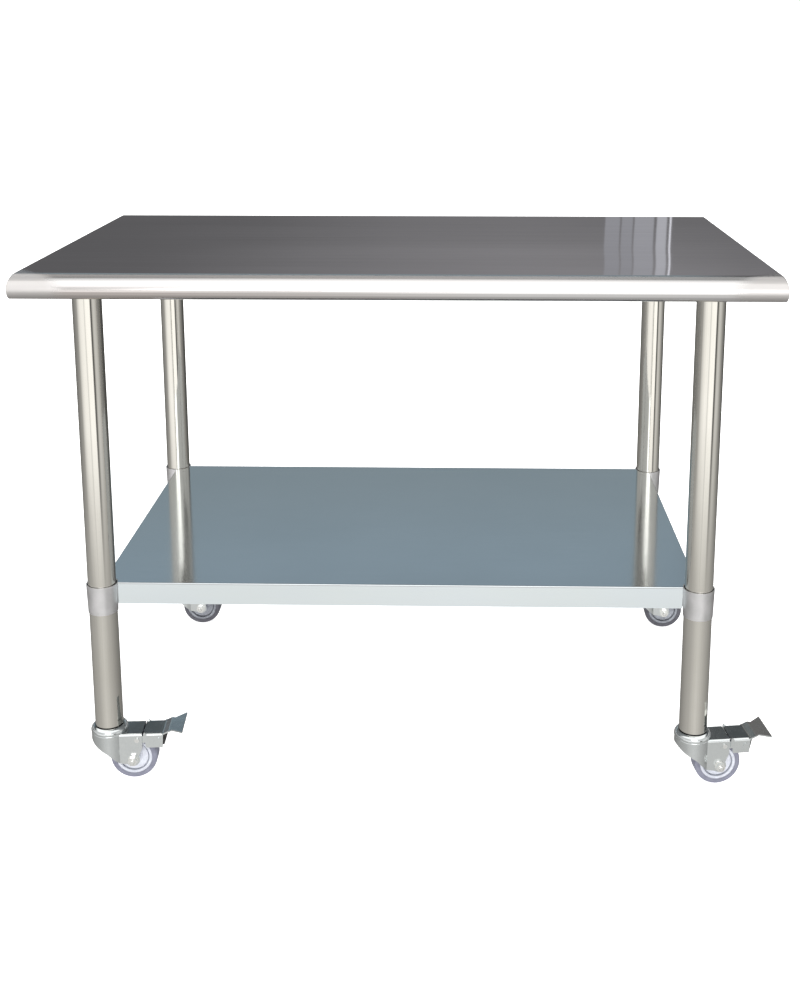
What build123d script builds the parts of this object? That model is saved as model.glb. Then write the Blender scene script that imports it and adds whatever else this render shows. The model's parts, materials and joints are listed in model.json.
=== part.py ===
from build123d import *
from math import atan2, cos, degrees, radians, sin, sqrt
import os

# Stainless work table on four swivel casters, with a sliding undershelf.
# The origin is on the floor under the middle of the table: +X along its length,
# -Y towards the front edge, +Z up.

# ---------------------------------------------------------------- driving dimensions, mm
TABLE_LENGTH = 1219.2
TABLE_DEPTH = 762.0
WORKTOP_HEIGHT = 898.0
SHEET = 1.5
HEM = 12.0

# rolled front and rear edges of the worktop
NOSE_UPPER_RADIUS = 90.0
NOSE_UPPER_TURN = 22.0
NOSE_LOWER_RADIUS = 15.5
TOP_BEND_RADIUS = 1.2

# legs
LEG_X = 505.0
LEG_Y = 305.0
LEG_RADIUS = 23.8
LEG_WALL = 1.5
LEG_BOTTOM = 100.0

# hat channels under the worktop and under the shelf
CHANNEL_WEB = 60.0
CHANNEL_FLANGE = 15.0
TOP_CHANNEL_HEIGHT = 16.0
SHELF_CHANNEL_HEIGHT = 20.0
CROSS_CHANNEL_LENGTH = 670.0
CHANNEL_GAP = 0.5

# sockets that hold the legs under the worktop
SOCKET_PLATE = 56.0
SOCKET_PLATE_CORNER = 4.0
SOCKET_PLATE_THICKNESS = 3.0
SOCKET_RADIUS = 27.0
SOCKET_DEPTH = 20.0
SOCKET_CHAMFER = 1.0

# screws: four hexagon heads in each socket plate, one set screw in each socket and collar
PLATE_SCREW_SPACING = 45.0
PLATE_SCREW_RADIUS = 3.0
PLATE_SCREW_END = 8.0
PLATE_HEAD_APOTHEM = 5.0
PLATE_HEAD_HEIGHT = 4.0
HEAD_POCKET_RADIUS = 6.6
HEAD_POCKET_DEPTH = 5.5
SET_SCREW_RADIUS = 4.0
SET_SCREW_LENGTH = 8.0
SET_SCREW_CONTACT = 0.05
HEX_SOCKET_RADIUS = 2.3
HEX_SOCKET_DEPTH = 4.0

# undershelf and its corner collars
SHELF_TOP = 358.0
SHELF_APRON = 38.0
COLLAR_HEIGHT = 50.0
COLLAR_RIM_RADIUS = 26.5
COLLAR_FOOT_RADIUS = 25.0
COLLAR_MOUTH_GAP = 1.1
COLLAR_EDGE_RADIUS = 1.5
GRIP_SHARE = 0.5
MOUTH_SHARE = 0.65
BOSS_RADIUS = 7.0
BOSS_REACH = 34.0
BOSS_RISE = 14.0
LUG_LENGTH = 30.0
LUG_THICKNESS = 3.0
SET_SCREW_SETBACK = 2.0

# plastic insert in each leg's foot
INSERT_LENGTH = 42.0
INSERT_STEP = 1.5

# fits
RUNNING_FIT = 0.06
SEATED_FIT = 0.02
BODY_GAP = 0.3

# casters, in a frame whose origin is on the floor under the stem and whose +X trails
WHEEL_RADIUS = 40.0
TREAD_WIDTH = 30.0
TREAD_THICKNESS = 9.0
TREAD_SHOULDER = 4.5
TREAD_FOOT = 0.6
TRAIL = 42.0
STEM_RADIUS = 6.0
STEM_LENGTH = 50.0
STEM_HEAD_RADIUS = 11.0
STEM_HEAD_THICKNESS = 3.0
CROWN_TOP = 87.5
CROWN_THICKNESS = 3.0
CROWN_RADIUS = 31.0
CROWN_EDGE_RADIUS = 1.8
FORK_EDGE_RADIUS = 3.6
FORK_WALL = 2.5
FORK_HALF_WIDTH = 24.0
FORK_BACK = 58.5
FORK_SIDE_FOOT = 62.0
SKIRT_BACK_FOOT = 76.0
SKIRT_QUARTER_FOOT = 68.0
SKIRT_SIDE_FOOT = 54.0
SKIRT_FRONT_FOOT = 33.0
CAP_RADIUS = 31.5
CAP_WALL = 2.5
CAP_RIM = 2.0
CAP_TOP = 98.0
CAP_MOUTH = 1.5
BALL_RADIUS = 2.5
BALL_PLAY = 0.05
BALL_CIRCLE = 20.0
BALL_COUNT = 14

# wheel core and axle
BUSH_RADIUS = 6.0
HUB_RADIUS = 9.5
HUB_SIDE_GAP = 1.5
WEB_HALF_WIDTH = 11.5
WEB_INNER_RADIUS = 13.5
GROOVE_INNER_RADIUS = 24.0
GROOVE_OUTER_RADIUS = 26.2
GROOVE_HALF_WIDTH = 8.0
RIM_HALF_WIDTH = 14.0
RIM_EDGE = 0.8
BOLT_RADIUS = 4.0
BOLT_OVERHANG = 12.5
WASHER_RADIUS = 8.5
WASHER_THICKNESS = 1.6
NUT_APOTHEM = 7.0
NUT_THICKNESS = 7.5
AXLE_BOSS_RADIUS = 12.0

# brake pedal, its two stub pins and its rubber block
PEDAL_PIVOT_X = 50.0
PEDAL_PIVOT_Z = 76.0
PEDAL_PIN_RADIUS = 2.5
PIN_HEAD_RADIUS = 4.0
PIN_HEAD_HEIGHT = 1.4
PEDAL_STROKE = 15.0
PEDAL_SHEET = 2.4
PEDAL_START_X = 61.0
PEDAL_BEND_X = 95.0
PEDAL_KNEE_X = 105.0
PEDAL_KNEE_RISE = 4.5
PEDAL_TIP_X = 129.5
PEDAL_TIP_RISE = 7.5
PEDAL_BEND_RADIUS = 5.0
PEDAL_EDGE_RADIUS = 3.6
PEDAL_NECK_X = 110.0
PEDAL_NECK_HALF_WIDTH = 21.0
PEDAL_TIP_HALF_WIDTH = 34.0
FLANGE_FOOT = 62.0
FLANGE_FOOT_START_X = 65.5
FLANGE_FOOT_END_X = 93.5
TAB_LENGTH = 6.0
TAB_RISE = 2.5
DIMPLE_X = 87.0
DIMPLE_RADIUS = 4.2
DIMPLE_HEIGHT = 0.8
EAR_RADIUS = 6.5
EAR_THICKNESS = 2.5
EAR_LENGTH = 20.0
JOG_LENGTH = 6.0
JOG_FOOT = 72.0
BLOCK_HALF_WIDTH = 18.0
BLOCK_FACE_ABOVE = 7.0
BLOCK_FACE_BELOW = 8.0
BLOCK_FOOT_X = 90.0
BLOCK_FOOT_Z = 62.5
BLOCK_END_X = 96.5
BLOCK_END_Z = 65.0
BLOCK_TOP_X = 100.5
BRAKE_GAP = 0.5
BRAKE_ANGLE = 40.0

# ---------------------------------------------------------------- derived sizes
NOSE_DEPTH = NOSE_UPPER_RADIUS * sin(radians(NOSE_UPPER_TURN))
NOSE_DEPTH += NOSE_LOWER_RADIUS * (1 - sin(radians(NOSE_UPPER_TURN)))
NOSE_HEIGHT = NOSE_UPPER_RADIUS * (1 - cos(radians(NOSE_UPPER_TURN)))
NOSE_HEIGHT += NOSE_LOWER_RADIUS * (1 + cos(radians(NOSE_UPPER_TURN)))
SHEET_UNDERSIDE = WORKTOP_HEIGHT - SHEET
WEB_UNDERSIDE = SHEET_UNDERSIDE - TOP_CHANNEL_HEIGHT
PLATE_UNDERSIDE = WEB_UNDERSIDE - SOCKET_PLATE_THICKNESS
SOCKET_SCREW_HEIGHT = PLATE_UNDERSIDE - SOCKET_DEPTH / 2
LEG_BORE = LEG_RADIUS - LEG_WALL
LEG_TOP = PLATE_UNDERSIDE
COLLAR_FOOT = SHELF_TOP - COLLAR_HEIGHT
BOSS_HEIGHT = COLLAR_FOOT + BOSS_RISE
MOUTH_RADIUS = LEG_RADIUS + COLLAR_MOUTH_GAP
GRIP_RADIUS = LEG_RADIUS + RUNNING_FIT
CROWN_UNDERSIDE = CROWN_TOP - CROWN_THICKNESS
BALL_HEIGHT = CROWN_TOP + BALL_PLAY + BALL_RADIUS
RACE_UNDERSIDE = BALL_HEIGHT + BALL_RADIUS + BALL_PLAY
SKIRT_FOOT = CROWN_TOP + BODY_GAP
FORK_INNER_HALF = FORK_HALF_WIDTH - FORK_WALL
FORK_BEND_X = sqrt(CROWN_RADIUS**2 - FORK_HALF_WIDTH**2)
CORE_RADIUS = WHEEL_RADIUS - TREAD_THICKNESS
PEDAL_TOP = CROWN_TOP + BODY_GAP
PEDAL_UNDERSIDE = PEDAL_TOP - PEDAL_SHEET
PEDAL_MIDDLE = PEDAL_TOP - PEDAL_SHEET / 2
FLANGE_INNER = FORK_INNER_HALF + BODY_GAP
EAR_OUTER = FORK_INNER_HALF - BODY_GAP
EAR_INNER = EAR_OUTER - EAR_THICKNESS

# rest heading of each caster: 0 trails along +X, positive turns towards the rear
CORNERS = {
    "front_left": (-1, -1, 4.0),
    "front_right": (1, -1, 7.0),
    "rear_left": (-1, 1, 0.0),
    "rear_right": (1, 1, 0.0),
}
BRAKED = ("front_left", "front_right")

os.makedirs("parts", exist_ok=True)


def save(builder, name):
    builder.part.label = name
    export_step(builder.part, f"parts/{name}.step")


# ---------------------------------------------------------------- worktop
def nose_section(inset):
    """Closed cross-section of the rolled worktop, moved inwards by inset."""
    deck_height = WORKTOP_HEIGHT - inset
    with BuildSketch() as section:
        with BuildLine():
            deck = Line((0, deck_height), (TABLE_DEPTH / 2 - NOSE_DEPTH, deck_height))
            upper = JernArc(deck @ 1, deck % 1, NOSE_UPPER_RADIUS - inset, -NOSE_UPPER_TURN)
            lower = JernArc(upper @ 1, upper % 1, NOSE_LOWER_RADIUS - inset, NOSE_UPPER_TURN - 180)
            Line(lower @ 1, (0, (lower @ 1).Y))
            mirror(about=Plane.YZ)
        make_face()
    return section.sketch


nose_outer = nose_section(0)
nose_inner = nose_section(SHEET)
mouth_half_depth = TABLE_DEPTH / 2 - NOSE_LOWER_RADIUS - HEM
nose_bottom = WORKTOP_HEIGHT - NOSE_HEIGHT

with BuildPart() as worktop:
    with BuildSketch(Plane.YZ):
        add(nose_outer)
    extrude(amount=TABLE_LENGTH / 2, both=True)
    fillet(worktop.faces().sort_by(Axis.X)[0].edges(), TOP_BEND_RADIUS)
    fillet(worktop.faces().sort_by(Axis.X)[-1].edges(), TOP_BEND_RADIUS)
    with BuildSketch(Plane.YZ):
        add(nose_inner)
    extrude(amount=TABLE_LENGTH / 2 - SHEET, both=True, mode=Mode.SUBTRACT)
    with BuildSketch(Plane.XY.offset(nose_bottom)):
        Rectangle(TABLE_LENGTH - 2 * SHEET - 2 * HEM, 2 * mouth_half_depth)
    extrude(amount=2 * SHEET, both=True, mode=Mode.SUBTRACT)
save(worktop, "worktop")


# ---------------------------------------------------------------- hat channels
def hat_section(height):
    """Hat cross-section, web at the bottom, flanges up at y = 0."""
    flange_middle = (CHANNEL_WEB + CHANNEL_FLANGE) / 2
    with BuildSketch() as section:
        with Locations((0, -height / 2)):
            Rectangle(CHANNEL_WEB, height)
        with Locations((0, (SHEET - height) / 2 + SHEET)):
            Rectangle(CHANNEL_WEB - 2 * SHEET, height + SHEET, mode=Mode.SUBTRACT)
        with Locations((flange_middle, -SHEET / 2), (-flange_middle, -SHEET / 2)):
            Rectangle(CHANNEL_FLANGE, SHEET)
    return section.sketch


top_hat = hat_section(TOP_CHANNEL_HEIGHT)
shelf_hat = hat_section(SHELF_CHANNEL_HEIGHT)

for side_name, side_sign in (("left", -1), ("right", 1)):
    channel_x = side_sign * LEG_X
    with BuildPart() as cross_channel:
        with BuildSketch(Plane((channel_x, 0, SHEET_UNDERSIDE), x_dir=(1, 0, 0), z_dir=(0, -1, 0))):
            add(top_hat)
        extrude(amount=CROSS_CHANNEL_LENGTH / 2, both=True)
        for leg_y in (-LEG_Y, LEG_Y):
            with BuildSketch(Plane((channel_x, leg_y, WEB_UNDERSIDE))):
                with GridLocations(PLATE_SCREW_SPACING, PLATE_SCREW_SPACING, 2, 2):
                    Circle(PLATE_SCREW_RADIUS + SEATED_FIT)
            extrude(amount=2 * SHEET, both=True, mode=Mode.SUBTRACT)
    save(cross_channel, f"hat_channel_{side_name}")

long_channel_half = LEG_X - CHANNEL_WEB / 2 - CHANNEL_FLANGE - CHANNEL_GAP
with BuildPart() as long_channel:
    with BuildSketch(Plane((0, 0, SHEET_UNDERSIDE), x_dir=(0, 1, 0), z_dir=(1, 0, 0))):
        add(top_hat)
    extrude(amount=long_channel_half, both=True)
save(long_channel, "hat_channel_middle")

# ---------------------------------------------------------------- undershelf
with BuildPart() as undershelf:
    with BuildSketch(Plane.XY.offset(SHELF_TOP)):
        Rectangle(2 * LEG_X, 2 * LEG_Y)
    extrude(amount=-SHELF_APRON)
    fillet(undershelf.faces().sort_by(Axis.Z)[-1].edges(), TOP_BEND_RADIUS)
    with BuildSketch(Plane.XY.offset(SHELF_TOP - SHEET)):
        Rectangle(2 * (LEG_X - SHEET), 2 * (LEG_Y - SHEET))
    extrude(amount=-(SHELF_APRON - 2 * SHEET), mode=Mode.SUBTRACT)
    with BuildSketch(Plane.XY.offset(SHELF_TOP - SHELF_APRON)):
        Rectangle(2 * (LEG_X - HEM), 2 * (LEG_Y - HEM))
    extrude(amount=2 * SHEET, both=True, mode=Mode.SUBTRACT)
    with BuildSketch(Plane.XY.offset(SHELF_TOP)):
        with GridLocations(2 * LEG_X, 2 * LEG_Y, 2, 2):
            Circle(COLLAR_RIM_RADIUS + SEATED_FIT)
    extrude(amount=-SHELF_APRON, mode=Mode.SUBTRACT)
save(undershelf, "undershelf")

with BuildPart() as shelf_channel:
    with BuildSketch(Plane((0, 0, SHELF_TOP - SHEET), x_dir=(0, 1, 0), z_dir=(1, 0, 0))):
        add(shelf_hat)
    extrude(amount=LEG_X - HEM - CHANNEL_GAP, both=True)
save(shelf_channel, "shelf_hat_channel")


# ---------------------------------------------------------------- what repeats at each leg
def corner_plane(sign_x, sign_y, height):
    """Horizontal plane on the leg's axis, its x axis pointing inboard along the diagonal."""
    return Plane((sign_x * LEG_X, sign_y * LEG_Y, height), x_dir=(-sign_x, -sign_y, 0), z_dir=(0, 0, 1))


def radial_plane(flat, reach):
    """Vertical plane across the inboard diagonal, reach away from the leg's axis."""
    return Plane(flat.from_local_coords((reach, 0, 0)), x_dir=flat.y_dir, z_dir=flat.x_dir)


def upright(flat):
    """Vertical plane through the leg's axis: x is radial, y is height."""
    return Plane(flat.origin, x_dir=flat.x_dir, z_dir=-flat.y_dir)


for corner, (sign_x, sign_y, heading) in CORNERS.items():
    leg_x = sign_x * LEG_X
    leg_y = sign_y * LEG_Y
    leg_axis = Axis((leg_x, leg_y, 0), (0, 0, 1))

    with BuildPart() as leg:
        with BuildSketch(Plane((leg_x, leg_y, LEG_BOTTOM))):
            Circle(LEG_RADIUS)
            Circle(LEG_BORE, mode=Mode.SUBTRACT)
        extrude(amount=LEG_TOP - LEG_BOTTOM)
    save(leg, f"leg_{corner}")

    with BuildPart() as socket:
        with BuildSketch(Plane((leg_x, leg_y, PLATE_UNDERSIDE))):
            RectangleRounded(SOCKET_PLATE, SOCKET_PLATE, SOCKET_PLATE_CORNER)
        extrude(amount=SOCKET_PLATE_THICKNESS)
        with BuildSketch(Plane((leg_x, leg_y, PLATE_UNDERSIDE))):
            Circle(SOCKET_RADIUS)
        extrude(amount=-SOCKET_DEPTH)
        chamfer(socket.edges().group_by(Axis.Z)[0], SOCKET_CHAMFER)
        with BuildSketch(Plane((leg_x, leg_y, PLATE_UNDERSIDE))):
            Circle(LEG_RADIUS + SEATED_FIT)
        extrude(amount=-SOCKET_DEPTH, mode=Mode.SUBTRACT)
        with BuildSketch(Plane((leg_x, leg_y, PLATE_UNDERSIDE))):
            with GridLocations(PLATE_SCREW_SPACING, PLATE_SCREW_SPACING, 2, 2):
                Circle(PLATE_SCREW_RADIUS + SEATED_FIT)
        extrude(amount=SOCKET_PLATE_THICKNESS, mode=Mode.SUBTRACT)
        with BuildSketch(Plane((leg_x, leg_y, PLATE_UNDERSIDE - HEAD_POCKET_DEPTH))):
            with GridLocations(PLATE_SCREW_SPACING, PLATE_SCREW_SPACING, 2, 2):
                Circle(HEAD_POCKET_RADIUS)
        extrude(amount=HEAD_POCKET_DEPTH, mode=Mode.SUBTRACT)
        flat = corner_plane(sign_x, sign_y, SOCKET_SCREW_HEIGHT)
        with BuildSketch(radial_plane(flat, LEG_RADIUS)):
            Circle(SET_SCREW_RADIUS + SEATED_FIT)
        extrude(amount=SOCKET_RADIUS, mode=Mode.SUBTRACT)
    save(socket, f"leg_socket_{corner}")

    with BuildPart() as collar:
        flat = corner_plane(sign_x, sign_y, 0)
        inside_radius = GRIP_RADIUS - LUG_THICKNESS
        with BuildSketch(upright(flat)):
            with BuildLine():
                Polyline(
                    (inside_radius, COLLAR_FOOT),
                    (COLLAR_FOOT_RADIUS, COLLAR_FOOT),
                    (COLLAR_RIM_RADIUS, SHELF_TOP),
                    (inside_radius, SHELF_TOP),
                    close=True,
                )
            make_face()
        revolve(axis=leg_axis)
        with BuildSketch(radial_plane(corner_plane(sign_x, sign_y, BOSS_HEIGHT), LEG_RADIUS)):
            Circle(BOSS_RADIUS)
        extrude(amount=BOSS_REACH - LEG_RADIUS)
        boss_end = collar.faces().filter_by(GeomType.PLANE).filter_by(Axis.Z, reverse=True)
        fillet(boss_end.edges(), COLLAR_EDGE_RADIUS)
        with BuildSketch(corner_plane(sign_x, sign_y, SHELF_TOP - SHEET)):
            with Locations((LEG_RADIUS + LUG_LENGTH / 2, 0)):
                Rectangle(LUG_LENGTH, LUG_LENGTH)
        extrude(amount=-LUG_THICKNESS)
        with BuildSketch(upright(flat)):
            with BuildLine():
                Polyline(
                    (0, COLLAR_FOOT),
                    (GRIP_RADIUS, COLLAR_FOOT),
                    (GRIP_RADIUS, COLLAR_FOOT + GRIP_SHARE * COLLAR_HEIGHT),
                    (MOUTH_RADIUS, COLLAR_FOOT + MOUTH_SHARE * COLLAR_HEIGHT),
                    (MOUTH_RADIUS, SHELF_TOP),
                    (0, SHELF_TOP),
                    close=True,
                )
            make_face()
        revolve(axis=leg_axis, mode=Mode.SUBTRACT)
        with BuildSketch(radial_plane(corner_plane(sign_x, sign_y, BOSS_HEIGHT), 0)):
            Circle(SET_SCREW_RADIUS + SEATED_FIT)
        extrude(amount=2 * BOSS_REACH, mode=Mode.SUBTRACT)
    save(collar, f"shelf_collar_{corner}")

    with BuildPart() as insert:
        with BuildSketch(Plane((leg_x, leg_y, LEG_BOTTOM))):
            Circle(LEG_BORE - SEATED_FIT)
        extrude(amount=INSERT_LENGTH)
        with BuildSketch(Plane((leg_x, leg_y, CAP_TOP))):
            Circle(LEG_BORE - INSERT_STEP)
        extrude(amount=LEG_BOTTOM - CAP_TOP)
        with BuildSketch(Plane((leg_x, leg_y, CAP_TOP))):
            Circle(STEM_RADIUS + SEATED_FIT)
        extrude(amount=2 * INSERT_LENGTH, mode=Mode.SUBTRACT)
    save(insert, f"leg_insert_{corner}")

with BuildPart() as socket_screws:
    for sign_x, sign_y, heading in CORNERS.values():
        leg_x = sign_x * LEG_X
        leg_y = sign_y * LEG_Y
        flat = corner_plane(sign_x, sign_y, SOCKET_SCREW_HEIGHT)
        with BuildSketch(Plane((leg_x, leg_y, PLATE_UNDERSIDE - PLATE_HEAD_HEIGHT))):
            with GridLocations(PLATE_SCREW_SPACING, PLATE_SCREW_SPACING, 2, 2):
                RegularPolygon(PLATE_HEAD_APOTHEM, 6, major_radius=False)
        extrude(amount=PLATE_HEAD_HEIGHT)
        with BuildSketch(Plane((leg_x, leg_y, PLATE_UNDERSIDE))):
            with GridLocations(PLATE_SCREW_SPACING, PLATE_SCREW_SPACING, 2, 2):
                Circle(PLATE_SCREW_RADIUS)
        extrude(amount=SOCKET_PLATE_THICKNESS + PLATE_SCREW_END)
        with BuildSketch(radial_plane(flat, LEG_RADIUS + SET_SCREW_CONTACT)):
            Circle(SET_SCREW_RADIUS)
        extrude(amount=SET_SCREW_LENGTH)
        with BuildSketch(radial_plane(flat, LEG_RADIUS + SET_SCREW_CONTACT + SET_SCREW_LENGTH)):
            RegularPolygon(HEX_SOCKET_RADIUS, 6)
        extrude(amount=-HEX_SOCKET_DEPTH, mode=Mode.SUBTRACT)
save(socket_screws, "socket_screws")

with BuildPart() as collar_screws:
    for sign_x, sign_y, heading in CORNERS.values():
        flat = corner_plane(sign_x, sign_y, BOSS_HEIGHT)
        with BuildSketch(radial_plane(flat, LEG_RADIUS + BODY_GAP)):
            Circle(SET_SCREW_RADIUS)
        extrude(amount=BOSS_REACH - LEG_RADIUS - SET_SCREW_SETBACK)
        with BuildSketch(radial_plane(flat, BOSS_REACH - SET_SCREW_SETBACK + BODY_GAP)):
            RegularPolygon(HEX_SOCKET_RADIUS, 6)
        extrude(amount=-HEX_SOCKET_DEPTH, mode=Mode.SUBTRACT)
save(collar_screws, "collar_set_screws")


# ---------------------------------------------------------------- casters
def caster_plane(corner):
    """Floor plane under the stem, its x axis along the caster's heading."""
    sign_x, sign_y, heading = CORNERS[corner]
    along = (cos(radians(heading)), sin(radians(heading)), 0)
    return Plane((sign_x * LEG_X, sign_y * LEG_Y, 0), x_dir=along, z_dir=(0, 0, 1))


def polar(radius, angle):
    return (radius * cos(radians(angle)), radius * sin(radians(angle)))


def both_sides(plane, inner, outer):
    """Pairs of a plane offset to the inner face of a left or right layer, and its thickness outwards."""
    return [(plane.offset(inner), outer - inner), (plane.offset(-inner), inner - outer)]


# where the brake block touches the tread, first with the pedal down, then at rest
contact_x = TRAIL + polar(WHEEL_RADIUS + BRAKE_GAP, BRAKE_ANGLE)[0] - PEDAL_PIVOT_X
contact_z = WHEEL_RADIUS + polar(WHEEL_RADIUS + BRAKE_GAP, BRAKE_ANGLE)[1] - PEDAL_PIVOT_Z
contact_reach = sqrt(contact_x**2 + contact_z**2)
contact_angle = degrees(atan2(contact_z, contact_x)) + PEDAL_STROKE
contact_rest = Vector(PEDAL_PIVOT_X, PEDAL_PIVOT_Z) + Vector(*polar(contact_reach, contact_angle))
face_along = Vector(*polar(1, BRAKE_ANGLE + PEDAL_STROKE - 90))
face_top = contact_rest - BLOCK_FACE_ABOVE * face_along
face_foot = contact_rest + BLOCK_FACE_BELOW * face_along

# corners of the fork's side below its axle boss, on the boss's circle
boss_foot = Vector(TRAIL, WHEEL_RADIUS) + Vector(*polar(AXLE_BOSS_RADIUS, -127))
boss_shoulder = Vector(TRAIL, WHEEL_RADIUS) + Vector(*polar(AXLE_BOSS_RADIUS, 30))

with BuildPart() as swivel_balls:
    for corner in CORNERS:
        with Locations(caster_plane(corner).offset(BALL_HEIGHT)):
            with PolarLocations(BALL_CIRCLE, BALL_COUNT):
                Sphere(BALL_RADIUS)
save(swivel_balls, "swivel_balls")

for corner in CORNERS:
    floor = caster_plane(corner)
    side = Plane(floor.origin, x_dir=floor.x_dir, z_dir=-floor.y_dir)
    stem_axis = Axis(floor.origin, (0, 0, 1))
    axle_point = floor.from_local_coords((TRAIL, 0, WHEEL_RADIUS))
    axle_axis = Axis(axle_point, floor.y_dir)
    axle_section = Plane(axle_point, x_dir=floor.y_dir, z_dir=floor.x_dir)
    axle_cross = Plane(axle_point, x_dir=floor.x_dir, z_dir=-floor.y_dir)

    with BuildPart() as stem:
        with BuildSketch(floor.offset(CROWN_UNDERSIDE - BODY_GAP)):
            Circle(STEM_HEAD_RADIUS)
        extrude(amount=-STEM_HEAD_THICKNESS)
        fillet(stem.edges().group_by(Axis.Z)[0], STEM_HEAD_THICKNESS / 2)
        with BuildSketch(floor.offset(CROWN_UNDERSIDE - BODY_GAP)):
            Circle(STEM_RADIUS)
        extrude(amount=STEM_LENGTH)
        chamfer(stem.edges().group_by(Axis.Z)[-1], STEM_RADIUS / 6)
    save(stem, f"caster_stem_{corner}")

    with BuildPart() as cap:
        with BuildSketch(side):
            with BuildLine():
                Polyline(
                    (STEM_RADIUS + SEATED_FIT, CAP_TOP),
                    (STEM_RADIUS + SEATED_FIT, RACE_UNDERSIDE),
                    (CAP_RADIUS - CAP_WALL, RACE_UNDERSIDE),
                    (CAP_RADIUS - CAP_WALL, SKIRT_FOOT),
                    (CAP_RADIUS, SKIRT_FOOT),
                    (CAP_RADIUS, SKIRT_FOOT + CAP_RIM),
                )
                dome_foot = (CAP_RADIUS, SKIRT_FOOT + CAP_RIM)
                dome = TangentArc(dome_foot, (LEG_RADIUS + CAP_MOUTH, CAP_TOP), tangent=(0, 1))
                Line(dome @ 1, (STEM_RADIUS + SEATED_FIT, CAP_TOP))
            make_face()
        revolve(axis=stem_axis)
    save(cap, f"swivel_cap_{corner}")

    with BuildPart() as fork:
        with BuildSketch(floor.offset(CROWN_TOP)):
            Circle(CROWN_RADIUS)
            with Locations((FORK_BACK / 2, 0)):
                Rectangle(FORK_BACK, 2 * FORK_HALF_WIDTH)
        extrude(amount=-CROWN_TOP)
        long_edges = fork.faces().sort_by(Axis.Z)[-1].edges().filter_by(Axis(floor.origin, floor.x_dir))
        fillet(long_edges, FORK_EDGE_RADIUS)
        fillet(fork.faces().sort_by(Axis.Z)[-1].edges().filter_by(GeomType.CIRCLE), CROWN_EDGE_RADIUS)
        with BuildSketch(floor.offset(CROWN_UNDERSIDE)):
            Circle(CROWN_RADIUS - FORK_WALL)
            with Locations((FORK_BACK, 0)):
                Rectangle(2 * FORK_BACK, 2 * FORK_INNER_HALF)
        extrude(amount=-CROWN_UNDERSIDE, mode=Mode.SUBTRACT)
        with BuildSketch(side):
            with BuildLine():
                Polyline(
                    (-CROWN_RADIUS, CROWN_TOP),
                    (-CROWN_RADIUS, SKIRT_BACK_FOOT),
                    (-CROWN_RADIUS * cos(radians(45)), SKIRT_QUARTER_FOOT),
                    (0, SKIRT_SIDE_FOOT),
                    (FORK_BEND_X, SKIRT_FRONT_FOOT),
                    (boss_foot.X, boss_foot.Y),
                    (boss_shoulder.X, boss_shoulder.Y),
                    (FORK_BACK, FORK_SIDE_FOOT),
                    (FORK_BACK, CROWN_TOP),
                    close=True,
                )
            make_face()
            with Locations((TRAIL, WHEEL_RADIUS)):
                Circle(AXLE_BOSS_RADIUS)
        extrude(amount=2 * FORK_HALF_WIDTH, both=True, mode=Mode.INTERSECT)
        if corner in BRAKED:
            with BuildSketch(side):
                with Locations((PEDAL_PIVOT_X, PEDAL_PIVOT_Z)):
                    Circle(PEDAL_PIN_RADIUS + SEATED_FIT)
            extrude(amount=2 * FORK_HALF_WIDTH, both=True, mode=Mode.SUBTRACT)
        with BuildSketch(floor.offset(CROWN_TOP)):
            Circle(STEM_RADIUS + RUNNING_FIT)
        extrude(amount=-2 * CROWN_THICKNESS, mode=Mode.SUBTRACT)
        with BuildSketch(axle_cross):
            Circle(BOLT_RADIUS + SEATED_FIT)
        extrude(amount=2 * FORK_HALF_WIDTH, both=True, mode=Mode.SUBTRACT)
    save(fork, f"caster_fork_{corner}")

    with BuildPart() as axle:
        with BuildSketch(axle_cross):
            Circle(BOLT_RADIUS)
        extrude(amount=FORK_HALF_WIDTH + BOLT_OVERHANG, both=True)
        washer_face = FORK_HALF_WIDTH + WASHER_THICKNESS
        for plane, thickness in both_sides(axle_cross, FORK_HALF_WIDTH, washer_face):
            with BuildSketch(plane):
                Circle(WASHER_RADIUS)
            extrude(amount=thickness)
        for plane, thickness in both_sides(axle_cross, washer_face, washer_face + NUT_THICKNESS):
            with BuildSketch(plane):
                RegularPolygon(NUT_APOTHEM, 6, major_radius=False)
            extrude(amount=thickness)
        chamfer(axle.faces().filter_by(GeomType.PLANE).sort_by(axle_axis)[-1].edges(), BOLT_RADIUS / 4)
        chamfer(axle.faces().filter_by(GeomType.PLANE).sort_by(axle_axis)[0].edges(), BOLT_RADIUS / 4)
    save(axle, f"axle_bolt_{corner}")

    with BuildPart() as bush:
        with BuildSketch(axle_cross):
            Circle(BUSH_RADIUS)
            Circle(BOLT_RADIUS + SEATED_FIT, mode=Mode.SUBTRACT)
        extrude(amount=FORK_INNER_HALF, both=True)
    save(bush, f"axle_bush_{corner}")

    with BuildPart() as core:
        with BuildSketch(axle_section):
            with BuildLine():
                Polyline(
                    (0, BUSH_RADIUS + RUNNING_FIT),
                    (FORK_INNER_HALF - HUB_SIDE_GAP, BUSH_RADIUS + RUNNING_FIT),
                    (FORK_INNER_HALF - HUB_SIDE_GAP, HUB_RADIUS),
                    (WEB_HALF_WIDTH, WEB_INNER_RADIUS),
                    (WEB_HALF_WIDTH, GROOVE_INNER_RADIUS),
                    (GROOVE_HALF_WIDTH, GROOVE_INNER_RADIUS),
                    (GROOVE_HALF_WIDTH, GROOVE_OUTER_RADIUS),
                    (RIM_HALF_WIDTH - RIM_EDGE, GROOVE_OUTER_RADIUS),
                    (RIM_HALF_WIDTH, GROOVE_OUTER_RADIUS + RIM_EDGE),
                    (RIM_HALF_WIDTH, CORE_RADIUS),
                    (0, CORE_RADIUS),
                )
                mirror(about=Plane.YZ)
            make_face()
        revolve(axis=axle_axis)
    save(core, f"wheel_core_{corner}")

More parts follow.
